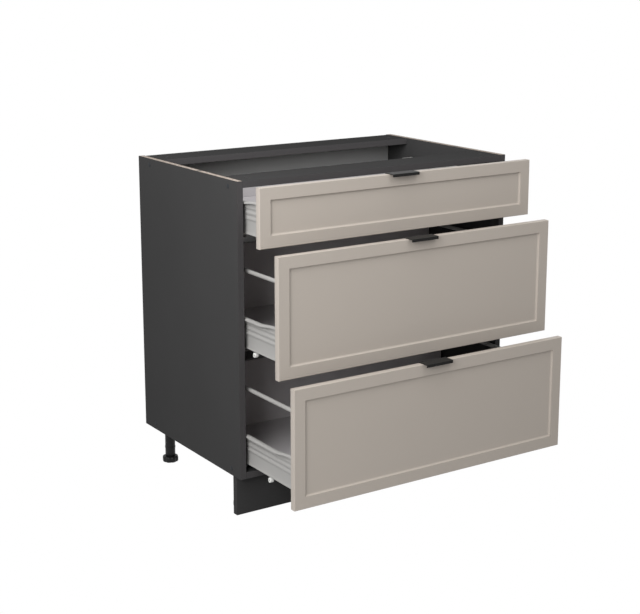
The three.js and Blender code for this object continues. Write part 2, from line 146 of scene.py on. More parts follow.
def boxMesh(name, low, high):
    (x0, y0, z0), (x1, y1, z1) = low, high
    points = [(x, y, z) for x in (x0, x1) for y in (y0, y1) for z in (z0, z1)]
    faces = [(0, 1, 3, 2), (4, 6, 7, 5), (0, 4, 5, 1), (2, 3, 7, 6), (0, 2, 6, 4), (1, 5, 7, 3)]
    return meshFrom(name, points, faces, smooth=False)


def softenEdges(piece, width, segments=2, angle=30):
    bevel = piece.modifiers.new("edges", "BEVEL")
    bevel.width = width
    bevel.segments = segments
    bevel.limit_method = "ANGLE"
    bevel.angle_limit = math.radians(angle)


# a node of the frame keeps its mesh and gets welded, softened edges and a finish
def dressNode(name, finish, width=0.0, segments=2):
    piece = nodes[name]
    for place in piece.material_slots:
        place.material = finish
    weld = piece.modifiers.new("weld", "WELD")
    weld.merge_threshold = weldDistance
    if width:
        softenEdges(piece, width, segments)


def newFinish(name, metallic=0.0, specular=0.5):
    finish = bpy.data.materials.new(name)
    finish.use_nodes = True
    tree = finish.node_tree
    shader = tree.nodes["Principled BSDF"]
    shader.inputs["Metallic"].default_value = metallic
    shader.inputs["Specular IOR Level"].default_value = specular
    return finish, tree, shader


def objectPoint(tree, stretch=(1, 1, 1)):
    place = tree.nodes.new("ShaderNodeTexCoord")
    mapping = tree.nodes.new("ShaderNodeMapping")
    mapping.inputs["Scale"].default_value = stretch
    tree.links.new(place.outputs["Object"], mapping.inputs["Vector"])
    return mapping.outputs["Vector"]


def noise(tree, scale, detail=2.0, stretch=(1, 1, 1)):
    field = tree.nodes.new("ShaderNodeTexNoise")
    field.inputs["Scale"].default_value = scale
    field.inputs["Detail"].default_value = detail
    tree.links.new(objectPoint(tree, stretch), field.inputs["Vector"])
    return field.outputs["Fac"]


def ramp(tree, factor, stops):
    node = tree.nodes.new("ShaderNodeValToRGB")
    while len(node.color_ramp.elements) < len(stops):
        node.color_ramp.elements.new(0.5)
    for element, (place, colour) in zip(node.color_ramp.elements, stops):
        element.position = place
        element.color = (*colour, 1.0)
    tree.links.new(factor, node.inputs["Fac"])
    return node.outputs["Color"]


def arithmetic(tree, kind, first, second=None):
    node = tree.nodes.new("ShaderNodeMath")
    node.operation = kind
    for socket, value in zip(node.inputs, (first, second)):
        if isinstance(value, (int, float)):
            socket.default_value = value
        elif value is not None:
            tree.links.new(value, socket)
    return node.outputs["Value"]


def mixed(tree, factor, first, second, kind="MIX"):
    node = tree.nodes.new("ShaderNodeMix")
    node.data_type = "RGBA"
    node.blend_type = kind
    sockets = (node.inputs[name] for name in ("Factor", "A", "B"))
    for socket, value in zip(sockets, (factor, first, second)):
        if isinstance(value, (int, float)):
            socket.default_value = value
        elif isinstance(value, tuple):
            socket.default_value = (*value, 1.0)
        else:
            tree.links.new(value, socket)
    return node.outputs["Result"]


def mapped(tree, value, low, high):
    node = tree.nodes.new("ShaderNodeMapRange")
    node.inputs["To Min"].default_value = low
    node.inputs["To Max"].default_value = high
    tree.links.new(value, node.inputs["Value"])
    return node.outputs["Result"]


def addBump(tree, shader, height, strength, distance):
    bump = tree.nodes.new("ShaderNodeBump")
    bump.inputs["Strength"].default_value = strength
    bump.inputs["Distance"].default_value = distance
    tree.links.new(height, bump.inputs["Height"])
    tree.links.new(bump.outputs["Normal"], shader.inputs["Normal"])


def shades(colour, spread):
    return tuple(c * (1 - spread) for c in colour), tuple(c * (1 + spread) for c in colour)


def coordinates(tree):
    split = tree.nodes.new("ShaderNodeSeparateXYZ")
    tree.links.new(objectPoint(tree), split.inputs["Vector"])
    return split.outputs["X"], split.outputs["Y"], split.outputs["Z"]


# raw chipboard: flakes of several tones with dark gaps between them
def chipboard(tree, look):
    flakes = tree.nodes.new("ShaderNodeTexVoronoi")
    flakes.inputs["Scale"].default_value = look["flakeScale"]
    flakes.inputs["Randomness"].default_value = 1.0
    tree.links.new(objectPoint(tree, look["flakeStretch"]), flakes.inputs["Vector"])
    toneOf = tree.nodes.new("ShaderNodeSeparateColor")
    tree.links.new(flakes.outputs["Color"], toneOf.inputs["Color"])
    tones = ramp(tree, toneOf.outputs["Red"], look["flakeTones"])
    gaps = ramp(tree, noise(tree, look["gapScale"], detail=4), look["gapTones"])
    return mixed(tree, look["gapShare"], tones, gaps, "MULTIPLY")


# 1 inside a band of one coordinate, 0 outside
def within(tree, value, low, high):
    above = arithmetic(tree, "GREATER_THAN", value, low)
    below = arithmetic(tree, "LESS_THAN", value, high)
    return arithmetic(tree, "MULTIPLY", above, below)


melamine = dict(
    colour=(0.0550, 0.0545, 0.0547),
    spread=0.05,
    pearlScale=520,
    cloudScale=3.5,
    cloudTones=[(0.3, (0.70, 0.70, 0.70)), (0.7, (1.0, 1.0, 1.0))],
    cloudShare=0.22,
    roughness=(0.50, 0.60),
    specular=0.0,
    bump=0.16,
    bumpHeight=0.15 * mm,
    bandColour=(0.070, 0.0670, 0.0685),  # edge band on the front edges
    bandThickness=0.8 * mm,
    bandFace=0.12 * mm,  # the rest of the band's thickness shows the glue joint
    glueColour=(0.03, 0.03, 0.03),
    glueShare=0.35,
    filmThickness=1.6 * mm,  # film and the dense brown layer under it
    filmShare=0.4,  # of that thickness, the film itself
    filmColour=(0.065, 0.038, 0.026),
    rawDepth=0.3 * mm,  # how far in from an edge the chipboard is drawn
    flakeScale=640,
    flakeStretch=(1, 0.55, 1),
    flakeTones=[(0.0, (0.30, 0.245, 0.205)), (0.45, (0.43, 0.375, 0.33)), (1.0, (0.56, 0.505, 0.46))],
    gapScale=448,
    gapTones=[(0.36, (0.45, 0.36, 0.29)), (0.5, (1, 1, 1))],
    gapShare=0.55,
)


# melamine board; the edge at bandPlane carries a band, and the sides' other edges are raw chipboard
def melamineFinish(name, look, bandPlane=None, rawSides=False):
    finish, tree, shader = newFinish(name, specular=look["specular"])
    low, high = shades(look["colour"], look["spread"])
    pearl = noise(tree, look["pearlScale"], detail=3)
    cloud = noise(tree, look["cloudScale"])
    colour = mixed(tree, pearl, low, high)
    colour = mixed(tree, look["cloudShare"], colour, ramp(tree, cloud, look["cloudTones"]), "MULTIPLY")
    x, y, z = coordinates(tree)
    if bandPlane is not None:
        face = bandPlane + look["bandFace"]
        band = arithmetic(tree, "LESS_THAN", y, face)
        joint = within(tree, y, face, bandPlane + look["bandThickness"])
        glue = arithmetic(tree, "MULTIPLY", joint, look["glueShare"])
        colour = mixed(tree, glue, colour, look["glueColour"])
        colour = mixed(tree, band, colour, look["bandColour"])
    if rawSides:
        across = arithmetic(tree, "ABSOLUTE", x)
        film = look["filmThickness"]
        skin = film * look["filmShare"]
        underFilm = within(tree, across, sideInside + skin, sideOutside - skin)
        core = within(tree, across, sideInside + film, sideOutside - film)
        top = arithmetic(tree, "GREATER_THAN", z, carcassTop - look["rawDepth"])
        foot = arithmetic(tree, "LESS_THAN", z, carcassFloor + look["rawDepth"])
        rear = arithmetic(tree, "GREATER_THAN", y, carcassRear - look["rawDepth"])
        behindBand = arithmetic(tree, "GREATER_THAN", y, carcassFront + look["bandThickness"])
        raw = arithmetic(tree, "MAXIMUM", top, arithmetic(tree, "MAXIMUM", foot, rear))
        raw = arithmetic(tree, "MULTIPLY", raw, behindBand)
        colour = mixed(tree, arithmetic(tree, "MULTIPLY", raw, underFilm), colour, look["filmColour"])
        colour = mixed(tree, arithmetic(tree, "MULTIPLY", raw, core), colour, chipboard(tree, look))
    tree.links.new(colour, shader.inputs["Base Color"])
    tree.links.new(mapped(tree, pearl, *look["roughness"]), shader.inputs["Roughness"])
    addBump(tree, shader, pearl, look["bump"], look["bumpHeight"])
    return finish


# a plain coloured surface with a fine skin, such as lacquer, powder coat or moulded plastic;
# faces beyond rawBehind take the raw colour
def coatedFinish(name, look, rawBehind=None):
    finish, tree, shader = newFinish(name, look.get("metallic", 0.0), look.get("specular", 0.5))
    low, high = shades(look["colour"], look["spread"])
    skin = noise(tree, look["skinScale"], stretch=look.get("stretch", (1, 1, 1)))
    cloud = noise(tree, look["cloudScale"])
    colour = mixed(tree, cloud, low, high)
    if rawBehind is not None:
        y = coordinates(tree)[1]
        colour = mixed(tree, arithmetic(tree, "GREATER_THAN", y, rawBehind), colour, look["rawColour"])
    tree.links.new(colour, shader.inputs["Base Color"])
    tree.links.new(mapped(tree, skin, *look["roughness"]), shader.inputs["Roughness"])
    addBump(tree, shader, skin, look["bump"], look["bumpHeight"])
    return finish


lacquer = dict(
    colour=(0.450, 0.404, 0.3585),
    spread=0.012,
    skinScale=260,
    cloudScale=5,
    roughness=(0.40, 0.47),
    bump=0.05,
    bumpHeight=0.1 * mm,
    specular=0.20,
)
powderCoat = dict(
    colour=(0.341, 0.334, 0.323),
    spread=0.02,
    skinScale=900,
    cloudScale=14,
    roughness=(0.36, 0.46),
    bump=0.10,
    bumpHeight=0.1 * mm,
    specular=0.12,
)
zincPlate = dict(
    colour=(0.55, 0.56, 0.58),
    spread=0.10,
    skinScale=420,
    cloudScale=90,
    roughness=(0.24, 0.40),
    bump=0.06,
    bumpHeight=0.05 * mm,
    metallic=1.0,
)
anodised = dict(
    colour=(0.021, 0.0205, 0.020),
    spread=0.06,
    skinScale=700,
    cloudScale=30,
    roughness=(0.30, 0.42),
    bump=0.10,
    bumpHeight=0.04 * mm,
    stretch=(0.04, 1, 1),  # brushed along the handle
    specular=0.02,
)
mouldedBlack = dict(
    colour=(0.0085, 0.0085, 0.0088),
    spread=0.10,
    skinScale=800,
    cloudScale=40,
    roughness=(0.40, 0.52),
    bump=0.14,
    bumpHeight=0.1 * mm,
    specular=0.2,
)
capPlastic = dict(
    colour=(0.036, 0.038, 0.041),
    spread=0.04,
    skinScale=700,
    cloudScale=60,
    roughness=(0.40, 0.50),
    bump=0.05,
    bumpHeight=0.05 * mm,
    specular=0.02,
)
nylon = dict(
    colour=(0.74, 0.74, 0.72),
    spread=0.02,
    skinScale=600,
    cloudScale=90,
    roughness=(0.32, 0.40),
    bump=0.05,
    bumpHeight=0.05 * mm,
)
drawerBoard = dict(
    colour=(0.440, 0.422, 0.430),
    spread=0.03,
    skinScale=520,
    cloudScale=6,
    roughness=(0.46, 0.56),
    bump=0.12,
    bumpHeight=0.12 * mm,
    specular=0.15,
)
hardboard = dict(
    colour=(0.46, 0.46, 0.455),  # coated face, towards the drawers
    rawColour=(0.130, 0.130, 0.131),  # face towards the wall
    spread=0.05,
    skinScale=480,
    cloudScale=4,
    roughness=(0.52, 0.62),
    bump=0.18,
    bumpHeight=0.15 * mm,
    specular=0.1,
)

print("mixing the finishes")
sideFinish = melamineFinish("graphiteSide", melamine, carcassFront, rawSides=True)
boardFinish = melamineFinish("graphiteBoard", melamine, carcassFront)
rearRailFinish = melamineFinish("graphiteRearRail", melamine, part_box("top_rail_rear")[0].y)
plinthFinish = melamineFinish("graphitePlinth", melamine)
lacquerFinish = coatedFinish("cashmereLacquer", lacquer)
steelFinish = coatedFinish("greyPowderCoat", powderCoat)
zincFinish = coatedFinish("zincPlate", zincPlate)
handleFinish = coatedFinish("blackAnodised", anodised)
plasticFinish = coatedFinish("blackPlastic", mouldedBlack)
capFinish = coatedFinish("graphiteCap", capPlastic)
nylonFinish = coatedFinish("whiteNylon", nylon)
drawerFinish = coatedFinish("drawerBoard", drawerBoard)
backLow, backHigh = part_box("back_panel")
backFinish = coatedFinish("greyHardboard", hardboard, (backLow.y + backHigh.y) / 2)

print("dressing the boards, handles and runners")
softened = dict(carcass=0.35 * mm, drawer=0.35 * mm, handle=0.35 * mm, runner=0.25 * mm)
dressNode("side_panel_left", sideFinish, softened["carcass"])
dressNode("side_panel_right", sideFinish, softened["carcass"])
dressNode("bottom_panel", boardFinish, softened["carcass"])
dressNode("top_rail_front", boardFinish, softened["carcass"])
dressNode("top_rail_rear", rearRailFinish, softened["carcass"])
dressNode("plinth", plinthFinish, softened["carcass"])
dressNode("back_panel", backFinish)
for level in levels:
    dressNode(f"handle_{level}", handleFinish, softened["handle"])
    dressNode(f"drawer_bottom_{level}", drawerFinish, softened["drawer"])
    dressNode(f"drawer_back_{level}", drawerFinish, softened["drawer"])
    for side in hands:
        dressNode(f"runner_{level}_{side}", zincFinish, softened["runner"], segments=1)


# a piece that rides on a body, in the place of the nodes it replaces
def standIn(name, mesh, finish, body, replaced=()):
    piece = addObject(name, mesh)
    if not mesh.materials:
        mesh.materials.append(finish)
    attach(piece, body)
    if replaced:
        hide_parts(*replaced)
    return piece


def arcPoints(centre, radius, start, end, steps):
    turnStep = (end - start) / steps
    angles = [math.radians(start + turnStep * i) for i in range(steps + 1)]
    return [(centre[0] + radius * math.cos(a), centre[1] + radius * math.sin(a)) for a in angles]


framedFront = dict(
    arris=1.3 * mm,  # rounded outer edge of the face
    backArris=0.4 * mm,
    band=29 * mm,  # flat frame round the sunk field
    lip=0.35 * mm,  # rounded inner edge of the frame
    cove=4.8 * mm,  # width of the hollow from the frame down to the field
    fieldDepth=4.5 * mm,
    wallDepth=1.4 * mm,  # upright part of the step, above the hollow
    arrisSteps=5,
    lipSteps=3,
    coveSteps=7,
    sharpAngle=60,
)


# (inset, depth behind the face) from the back of the board round to the field
def frontProfile(look, thickness):
    arris, back, lip, band = look["arris"], look["backArris"], look["lip"], look["band"]
    line = [(back, thickness), (0, thickness - back)]
    line += arcPoints((arris, arris), arris, 180, 270, look["arrisSteps"])
    line += arcPoints((band - lip, lip), lip, -90, 0, look["lipSteps"])
    wide, deep = look["cove"], look["fieldDepth"] - look["wallDepth"]
    for i in range(look["coveSteps"] + 1):
        turn = math.radians(90 * i / look["coveSteps"])
        line.append((band + wide * (1 - math.cos(turn)), look["wallDepth"] + deep * math.sin(turn)))
    return line


# rectangular rings joined into a closed board whose mitres stay sharp
def framedFrontMesh(name, look, low, high):
    profile = frontProfile(look, high.y - low.y)
    points = []
    for inset, depth in profile:
        x0, x1, z0, z1 = low.x + inset, high.x - inset, low.z + inset, high.z - inset
        y = low.y + depth
        points += [(x0, y, z0), (x1, y, z0), (x1, y, z1), (x0, y, z1)]
    last = len(points) - 4
    faces = [(0, 1, 2, 3), (last + 3, last + 2, last + 1, last)]
    for start in range(0, last, 4):
        for i in range(4):
            j = (i + 1) % 4
            faces.append((start + i, start + 4 + i, start + 4 + j, start + j))
    mesh = meshFrom(name, points, faces, sharpFrom=look["sharpAngle"])
    edges = mesh.attributes.get("sharp_edge") or mesh.attributes.new("sharp_edge", "BOOLEAN", "EDGE")
    flat = {round(look["arris"], 6), round(look["band"] - look["lip"], 6), round(profile[-1][0], 6)}
    for edge in mesh.edges:
        a, b = (mesh.vertices[i].co for i in edge.vertices)
        mitre = abs(a.x - b.x) > tiny and abs(a.z - b.z) > tiny or (a.x == b.x and a.z == b.z)
        inset = round(min(a.x - low.x, high.x - a.x, a.z - low.z, high.z - a.z), 6)
        if mitre or (inset in flat and abs(a.y - b.y) < tiny):
            edges.data[edge.index].value = True
    mesh.update()
    return mesh


print("milling the fronts")
for level in levels:
    node = f"drawer_front_{level}"
    name = f"framedFront_{level}"
    mesh = framedFrontMesh(name, framedFront, *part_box(node))
    standIn(name, mesh, lacquerFinish, f"drawer_{level}", [node])


steelSide = dict(
    sheet=1.2 * mm,
    height=76 * mm,
    flange=25 * mm,
    flat=8.75 * mm,  # where the flange's flat stretch ends
    flare=2 * mm,
    flareHeight=6.5 * mm,
    flareCorner=(0.4 * mm, 0.5 * mm),  # cut across the corner between flange and flare
    flareEnd=((0.3 * mm, -0.8 * mm), (0, 0.6 * mm)),  # out of the wall's line, and up from flareHeight
    beads=3,
    beadsFrom=31.5 * mm,  # height of the lowest bead's foot
    beadPitch=13 * mm,
    beadDepth=1.7 * mm,
    beadSteps=12,
    reach=(6.5 * mm, 10 * mm),  # rim overhang at the front end and further back
    drop=5.5 * mm,  # of the rim's turned-down lip
    rise=(6 * mm, 0.0),  # of the rim, at the front end and further back
    bend=2 * mm,
    lipBend=4.4 * mm,
    bendSteps=6,
    climb=(35 * mm, 105 * mm),  # stretch behind the front end where the rim changes
    climbSteps=20,
    frontTab=(18 * mm, 62 * mm),  # width and height
    rearTab=(27 * mm, 75.4 * mm),
    tabCorner=4 * mm,
    tabSteps=5,
    rollerDrop=8.2 * mm,
    bracketInwards=9 * mm,
    bracketHalf=3.5 * mm,
    bracketSteps=12,
    pinRadius=2 * mm,
    pin=(-2.65 * mm, 9.25 * mm),  # its two ends, inwards of the wall's outer face
    rivet=((3.1 * mm, 0), (3.1 * mm, 0.4 * mm), (2.4 * mm, 1.0 * mm), (1.2 * mm, 1.3 * mm)),
    pinSegments=24,
)


# centre line of the rolled section: x into the drawer from the wall's outer face, z from its underside
def sectionLine(look, rise, reach):
    half = look["sheet"] / 2
    corner = half - look["flare"]
    cutAlong, cutUp = look["flareCorner"]
    line = [(look["flange"], half), (look["flat"], half), (corner + cutAlong, half), (corner, half + cutUp)]
    line += [(half - out, look["flareHeight"] + up) for out, up in look["flareEnd"]]
    for i in range(look["beads"] * look["beadSteps"] + 1):
        share = i / look["beadSteps"]
        swell = (1 - math.cos(2 * math.pi * share)) / 2
        line.append((half - look["beadDepth"] * swell, look["beadsFrom"] + look["beadPitch"] * share))
    top = look["height"] + rise - half
    lip = half - reach
    bend, lipBend = look["bend"], look["lipBend"]
    line += arcPoints((half - bend, top - bend), bend, 0, 90, look["bendSteps"])
    line += arcPoints((lip + lipBend, top - lipBend), lipBend, 90, 180, look["bendSteps"])
    line.append((lip, top + half - look["drop"]))
    return line


def thickened(line, thickness):
    left, right = [], []
    for i, (x, z) in enumerate(line):
        before = Vector(line[max(i - 1, 0)])
        after = Vector(line[min(i + 1, len(line) - 1)])
        along = (after - before).normalized()
        across = Vector((-along.y, along.x)) * thickness / 2
        left.append((x + across.x, z + across.y))
        right.append((x - across.x, z - across.y))
    return left + right[::-1]


def between(pair, share):
    return pair[0] + (pair[1] - pair[0]) * share


# the section swept from the front end backwards while its rim comes down and widens
def rolledShell(name, look, length):
    start, end = look["climb"]
    steps = look["climbSteps"]
    stations = [0.0, start / 2]
    stations += [start + (end - start) * i / steps for i in range(steps + 1)]
    stations += [(end + length) / 2, length]
    rings = []
    for y in stations:
        share = min(max((y - start) / (end - start), 0.0), 1.0)
        back = share * share * (3 - 2 * share)
        line = sectionLine(look, between(look["rise"], back), between(look["reach"], back))
        rings.append([(x, y, z) for x, z in thickened(line, look["sheet"])])
    count = len(rings[0])
    points = [point for ring in rings for point in ring]
    faces = []
    for r in range(len(rings) - 1):
        for i in range(count):
            j = (i + 1) % count
            faces.append((r * count + i, r * count + j, (r + 1) * count + j, (r + 1) * count + i))
    half = count // 2
    last = (len(rings) - 1) * count
    for base in (0, last):  # the ends are closed along the sheet's thickness
        for i in range(half - 1):
            faces.append((base + i, base + i + 1, base + count - 2 - i, base + count - 1 - i))
    return meshFrom(name + "Shell", points, faces, sharpFrom=curvedSharpAngle)


# an upright plate with one rounded corner, as thick as the sheet, from y backwards
def tabMesh(name, look, y, width, height):
    half, corner = look["sheet"] / 2, look["tabCorner"]
    outline = [(half, half), (width + half, half)]
    outline += arcPoints((width + half - corner, height - corner), corner, 0, 90, look["tabSteps"])
    outline.append((half, height))
    plate = slabMesh(name + "Tab", outline, -y - look["sheet"], -y)
    return moved(plate, Matrix.Rotation(math.pi / 2, 4, "X"))


# bracket plate, pin and rivet of one roller
def rollerMount(name, look, y):
    inwards, half, drop = look["bracketInwards"], look["bracketHalf"], look["rollerDrop"]
    outline = [(y + half, look["sheet"] / 2), (y - half, look["sheet"] / 2)]
    outline += arcPoints((y, -drop), half, 180, 360, look["bracketSteps"])
    plate = slabMesh(name + "Bracket", outline, inwards, inwards + look["sheet"])
    # (a, b, depth) becomes (depth, a, b)
    moved(plate, Matrix(((0, 0, 1, 0), (1, 0, 0, 0), (0, 1, 0, 0), (0, 0, 0, 1))))
    radius, length = look["pinRadius"], look["pin"][1] - look["pin"][0]
    rod = [(0, 0), (radius, 0), (radius, length), (0, length)]
    pin = turnedMesh(name + "Pin", rod, look["pinSegments"])
    dome = [(0, 0), *look["rivet"], (0, look["rivet"][-1][1])]
    rivet = turnedMesh(name + "Rivet", dome, look["pinSegments"])
    acrossDrawer = Matrix.Rotation(math.pi / 2, 4, "Y")
    moved(pin, Matrix.Translation((look["pin"][0], y, -drop)) @ acrossDrawer)
    moved(rivet, Matrix.Translation((inwards + look["sheet"], y, -drop)) @ acrossDrawer)
    return [plate, pin, rivet]


def steelSideMesh(name, look, length, rollerPlaces):
    parts = [rolledShell(name, look, length)]
    parts.append(tabMesh(name, look, 0.0, *look["frontTab"]))
    parts.append(tabMesh(name, look, length - look["sheet"], *look["rearTab"]))
    for y in rollerPlaces:
        parts += rollerMount(name, look, y)
    return joined(name, parts)


print("rolling the steel drawer sides")
rollerFromFront = dict(guide=131.7 * mm, rear=435 * mm)
for level in levels:
    places = [rollerFromFront["rear"]]
    if level in deepLevels:
        places.insert(0, rollerFromFront["guide"])
    for side, turn in hands.items():
        node = f"drawer_side_{level}_{side}"
        name = f"steelSide_{level}_{side}"
        low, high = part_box(node)
        if side == "right":
            low.x, high.x = -high.x, -low.x
        underside = high.z - steelSide["height"] - steelSide["rise"][0]
        place = Matrix.Translation((low.x + steelSide["reach"][1], low.y, underside))
        mesh = steelSideMesh(name, steelSide, high.y - low.y, places)
        moved(mesh, Matrix.Diagonal((turn, 1, 1, 1)) @ place)
        standIn(name, mesh, steelFinish, f"drawer_{level}", [node])


rollers = dict(
    chamfer=0.8 * mm,
    chamferBulge=(0.2 * mm, 0.28 * mm),  # its middle point, from the outside and from the end face
    bore=2.08 * mm,
    hub=3.4 * mm,
    recess=0.5 * mm,  # ring sunk into both end faces
    recessSlope=0.3 * mm,
    rimFace=0.7 * mm,  # flat end face outside that ring
    segments=56,
)


def rollerMesh(name, look, radius, width):
    edge = radius - look["chamfer"]
    ring = edge - look["rimFace"]
    slope = look["recessSlope"]
    half = [
        (look["bore"], 0),
        (look["hub"], 0),
        (look["hub"] + slope, look["recess"]),
        (ring - slope, look["recess"]),
        (ring, 0),
        (edge, 0),
        (radius - look["chamferBulge"][0], look["chamferBulge"][1]),
        (radius, look["chamfer"]),
    ]
    profile = half + [(r, width - h) for r, h in reversed(half)]
    return turnedMesh(name, profile, look["segments"], closed=True)


print("fitting the rollers")
axles = {joint["child"]: joint["pos_m"] for joint in frame["joints"] if joint["type"] == "hinge"}
for node in sorted(axles):
    low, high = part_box(node)
    mesh = rollerMesh(node, rollers, (high.y - low.y) / 2, high.x - low.x)
    centre = Vector((low.x, *axles[node][1:]))
    moved(mesh, Matrix.Translation(centre) @ Matrix.Rotation(math.pi / 2, 4, "Y"))
    standIn(f"smooth_{node}", mesh, nylonFinish, node, [node])


socketKinds = {int: "NodeSocketInt", float: "NodeSocketFloat", type(None): "NodeSocketObject"}


# a Geometry Nodes tree with a geometry in and out, a finish and the named inputs
def newTree(name, inputs):
    tree = bpy.data.node_groups.new(name, "GeometryNodeTree")
    tree.interface.new_socket("Geometry", in_out="INPUT", socket_type="NodeSocketGeometry")
    tree.interface.new_socket("Finish", in_out="INPUT", socket_type="NodeSocketMaterial")
    for label, value in inputs.items():
        socket = tree.interface.new_socket(label, in_out="INPUT", socket_type=socketKinds[type(value)])
        if value is not None:
            socket.default_value = value
    tree.interface.new_socket("Geometry", in_out="OUTPUT", socket_type="NodeSocketGeometry")
    return tree, tree.nodes.new("NodeGroupInput").outputs, tree.nodes.new("NodeGroupOutput")


# realized instances with the finish named in the tree's inputs end every tree
def endTree(tree, given, result, geometry):
    realize = tree.nodes.new("GeometryNodeRealizeInstances")
    paint = tree.nodes.new("GeometryNodeSetMaterial")
    tree.links.new(geometry, realize.inputs["Geometry"])
    tree.links.new(realize.outputs["Geometry"], paint.inputs["Geometry"])
    tree.links.new(given["Finish"], paint.inputs["Material"])
    tree.links.new(paint.outputs["Geometry"], result.inputs["Geometry"])


# runs a tree on a mesh and returns the plain mesh that comes out
def grown(name, tree, source, values):
    carrier = addObject(name + "Carrier", source)
    modifier = carrier.modifiers.new("grow", "NODES")
    modifier.node_group = tree
    sockets = {s.name: s.identifier for s in tree.interface.items_tree if s.in_out == "INPUT"}
    for label, value in values.items():
        modifier[sockets[label]] = value
    bpy.context.view_layer.update()
    depsgraph = bpy.context.evaluated_depsgraph_get()
    mesh = bpy.data.meshes.new_from_object(carrier.evaluated_get(depsgraph), depsgraph=depsgraph)
    mesh.name = name
    carrier.modifiers.remove(modifier)
    bpy.data.objects.remove(carrier)
    shadeMesh(mesh, True, curvedSharpAngle)
    return mesh


# copies of a head on every point, facing along the point's "facing" vector, each turned at random
def fastenerTree():
    tree, given, result = newTree("fastenersOnPoints", {"Head": None, "Size": 1.0, "Turn Seed": 7})
    link = tree.links.new
    head = tree.nodes.new("GeometryNodeObjectInfo")
    facing = tree.nodes.new("GeometryNodeInputNamedAttribute")
    facing.data_type = "FLOAT_VECTOR"
    facing.inputs["Name"].default_value = "facing"
    align = tree.nodes.new("FunctionNodeAlignRotationToVector")
    align.axis = "Z"
    spread = tree.nodes.new("FunctionNodeRandomValue")
    spread.data_type = "FLOAT"
    spread.inputs["Max"].default_value = 2 * math.pi
    spin = tree.nodes.new("FunctionNodeAxisAngleToRotation")
    spin.inputs["Axis"].default_value = (0, 0, 1)
    turnHead = tree.nodes.new("FunctionNodeRotateRotation")
    turnHead.rotation_space = "LOCAL"
    onPoints = tree.nodes.new("GeometryNodeInstanceOnPoints")
    toPoints = tree.nodes.new("GeometryNodeMeshToPoints")
    link(given["Head"], head.inputs["Object"])
    link(given["Geometry"], toPoints.inputs["Mesh"])
    link(facing.outputs["Attribute"], align.inputs["Vector"])
    link(given["Turn Seed"], spread.inputs["Seed"])
    link(spread.outputs["Value"], spin.inputs["Angle"])
    link(align.outputs["Rotation"], turnHead.inputs["Rotation"])
    link(spin.outputs["Rotation"], turnHead.inputs["Rotate By"])
    link(toPoints.outputs["Points"], onPoints.inputs["Points"])
    link(head.outputs["Geometry"], onPoints.inputs["Instance"])
    link(turnHead.outputs["Rotation"], onPoints.inputs["Rotation"])
    link(given["Size"], onPoints.inputs["Scale"])
    endTree(tree, given, result, onPoints.outputs["Instances"])
    return tree


# a turned head with its seat at z = 0 and, where its look has one, a cross recess
def headMesh(name, look):
    segments = look["segments"]
    profile = [(0, 0), (look["radius"], 0)]
    profile += [(look["radius"] * share, look["height"] * rise) for share, rise in look["dome"]]
    ring, levelZ = profile[-1]
    if "cross" not in look:
        return turnedMesh(name, profile + [(0, levelZ)], segments)
    arm, half = look["cross"]
    cross = [(arm, -half), (arm, half), (half, half), (half, arm), (-half, arm), (-half, half)]
    cross += [(-x, -y) for x, y in cross]
    circle = arcPoints((0, 0), ring, 0, 360, segments)[:-1]
    points = [(x, y, levelZ) for x, y in circle + cross]
    points += [(x * look["crossTaper"], y * look["crossTaper"], levelZ - look["recess"]) for x, y in cross]
    loops = [[Vector((x, y, 0)) for x, y in outline] for outline in (circle, cross)]
    faces = [tuple(face) for face in tessellate_polygon(loops)]
    under = segments + len(cross)
    for i in range(len(cross)):
        j = (i + 1) % len(cross)
        faces.append((segments + i, segments + j, under + j, under + i))
    faces.append(tuple(under + i for i in range(len(cross))))
    around, walls = turnedRings(profile, segments, len(points))
    return meshFrom(name, points + around, faces + walls, sharpFrom=curvedSharpAngle)


panHead = dict(
    radius=3.6 * mm,
    height=2.1 * mm,
    dome=((1.0, 0.25), (0.94, 0.62), (0.78, 0.9), (0.6, 1.0)),
    cross=(1.7 * mm, 0.42 * mm),  # arm length and half width
    crossTaper=0.8,
    recess=1.2 * mm,
    segments=28,
)
flatHead = dict(
    radius=3.4 * mm,
    height=0.45 * mm,
    dome=((1.0, 0.2), (0.96, 0.8), (0.72, 1.0)),
    cross=(1.7 * mm, 0.42 * mm),
    crossTaper=0.8,
    recess=0.4 * mm,
    segments=28,
)
capHead = dict(
    radius=6.0 * mm,
    height=1.4 * mm,
    dome=((1.0, 0.12), (0.95, 0.42), (0.82, 0.68), (0.6, 0.88), (0.3, 0.98)),
    segments=40,
)
# a black disc only 0.2 mm thick: painted shade of a dowel hole, not a real plug
holeShadeDisc = dict(
    radius=6.0 * mm,
    height=0.2 * mm,
    dome=((1.0, 0.5), (0.95, 0.9), (0.7, 1.0)),
    segments=40,
)
camHead = dict(
    radius=7.2 * mm,
    height=9.9 * mm,
    dome=((1.0, 0.95), (0.95, 1.0), (0.7, 1.0)),
    cross=(4.2 * mm, 0.9 * mm),
    crossTaper=0.8,
    recess=3.2 * mm,
    segments=40,
)

fasteners = fastenerTree()


def pointMesh(name, places):
    mesh = bpy.data.meshes.new(name)
    mesh.from_pydata([tuple(place) for place, facing in places], [], [])
    attribute = mesh.attributes.new("facing", "FLOAT_VECTOR", "POINT")
    attribute.data.foreach_set("vector", [value for place, facing in places for value in facing])
    return mesh


def fasten(name, body, places, look, finish, seed=7):
    head = addObject(name + "Head", headMesh(name + "Head", look))
    values = {"Head": head, "Turn Seed": seed, "Finish": finish}
    mesh = grown(name, fasteners, pointMesh(name + "Points", places), values)
    bpy.data.objects.remove(head)
    return standIn(name, mesh, finish, body)


